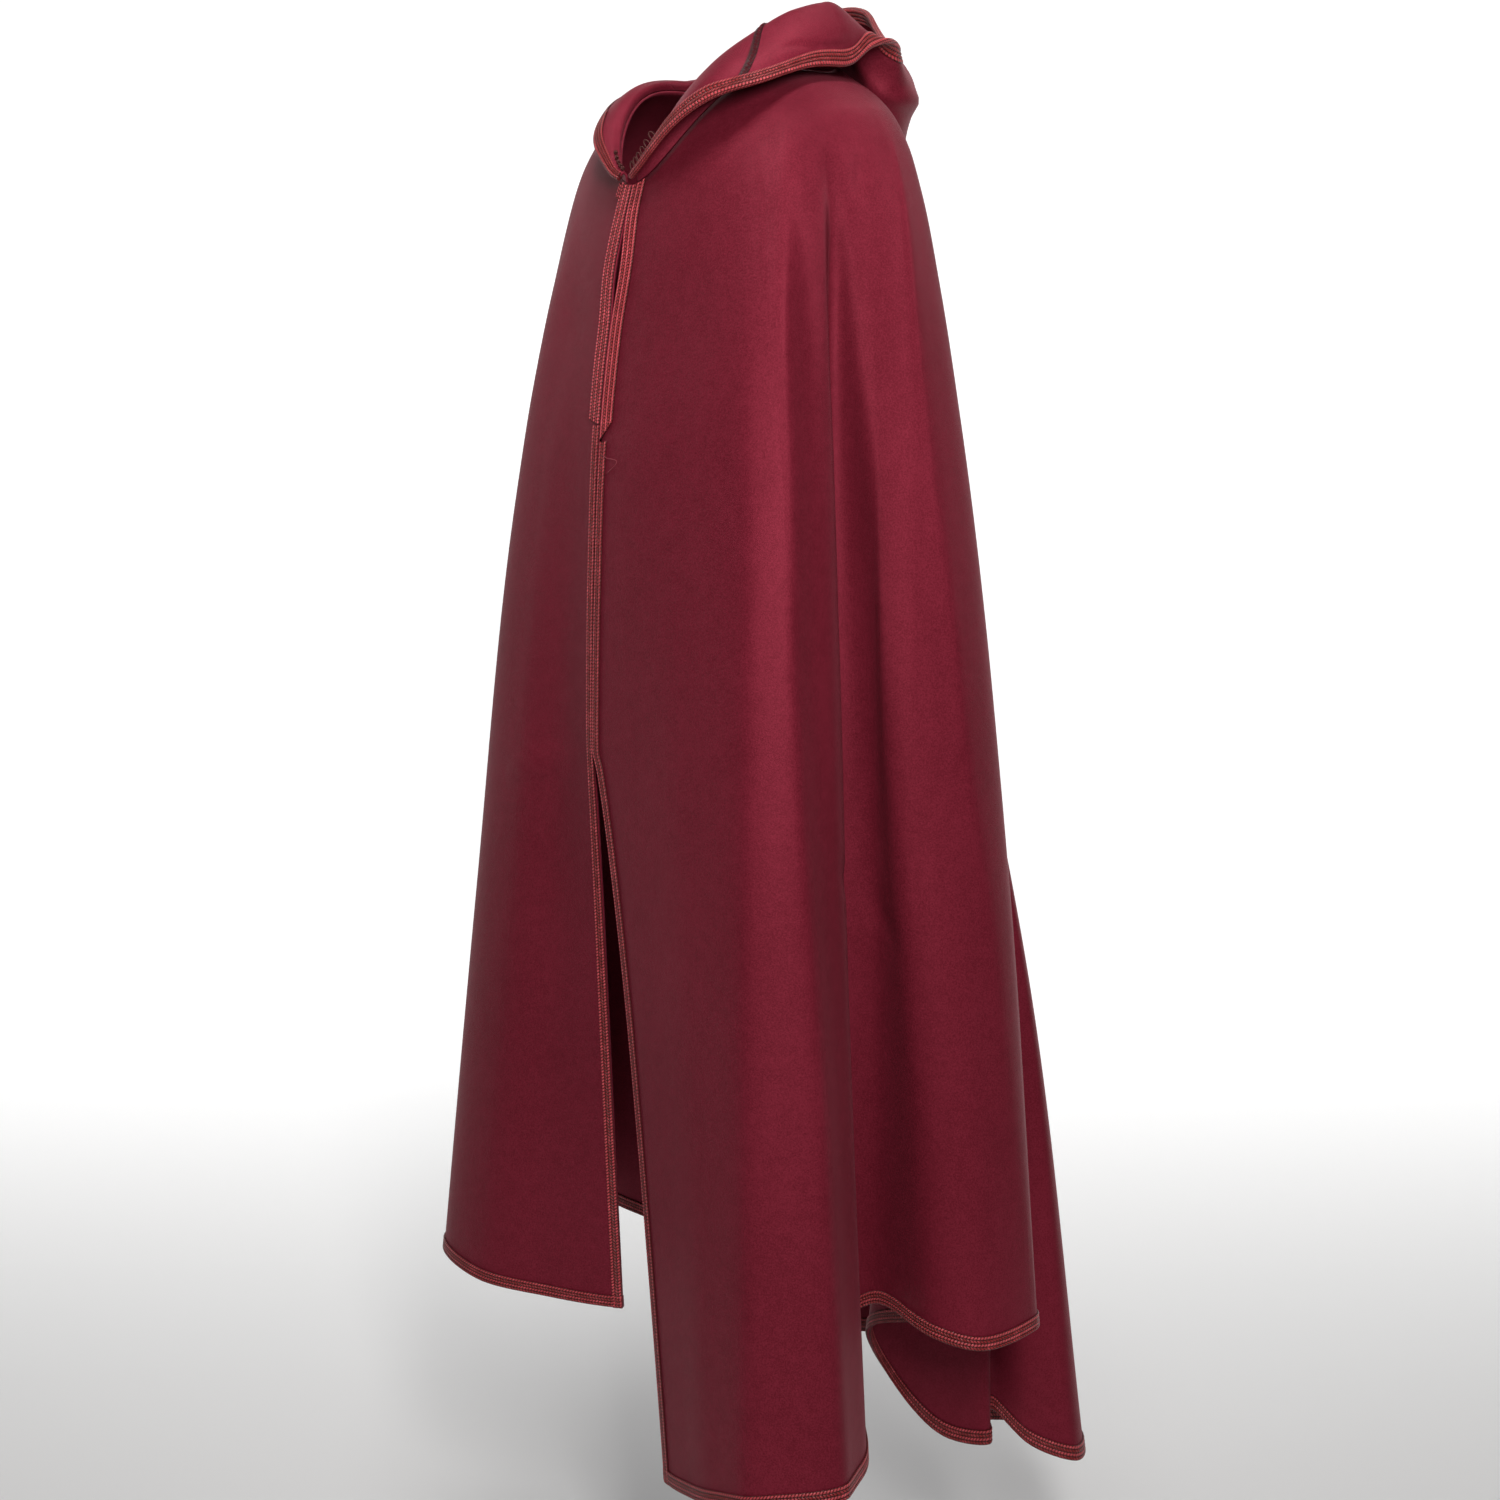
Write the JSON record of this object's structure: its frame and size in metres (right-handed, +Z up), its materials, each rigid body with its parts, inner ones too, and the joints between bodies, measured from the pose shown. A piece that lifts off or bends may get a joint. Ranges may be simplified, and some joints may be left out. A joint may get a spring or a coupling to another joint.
{
  "type": "hooded cloak",
  "caption": "Long hooded cloak of dark red wool, open down the front and braided along its edges, hanging hollow as it is worn with the hood thrown back.",
  "frame": {"origin": "middle of the neck base, at the height of the neck seam on the shoulders, where the wearer carries the cloak", "axes": "+Z up along the wearer's neck, -Y the way the wearer faces, +X to the wearer's left"},
  "size_m": [0.6325, 0.6013, 1.561],
  "materials": {
    "burgundy_wool": "matt brushed wool",
    "satin_braid": "satin rayon thread in stitched rows",
    "brown_cord": "twisted cord"
  },
  "bodies": {
    "root": {"cloak_body": "burgundy_wool", "hood": "burgundy_wool", "hood_front_right": "burgundy_wool", "hood_front_left": "burgundy_wool", "placket_right": "satin_braid", "placket_left": "satin_braid", "edge_braid_right": "satin_braid", "edge_braid_left": "satin_braid", "hem_braid": "satin_braid", "hood_braid": "satin_braid", "loop_1": "brown_cord", "loop_2": "brown_cord", "loop_3": "brown_cord", "loop_4": "brown_cord", "loop_5": "brown_cord", "loop_6": "brown_cord", "knot_1": "brown_cord", "knot_2": "brown_cord", "knot_3": "brown_cord", "knot_4": "brown_cord", "knot_5": "brown_cord", "knot_6": "brown_cord"}
  },
  "joints": []
}
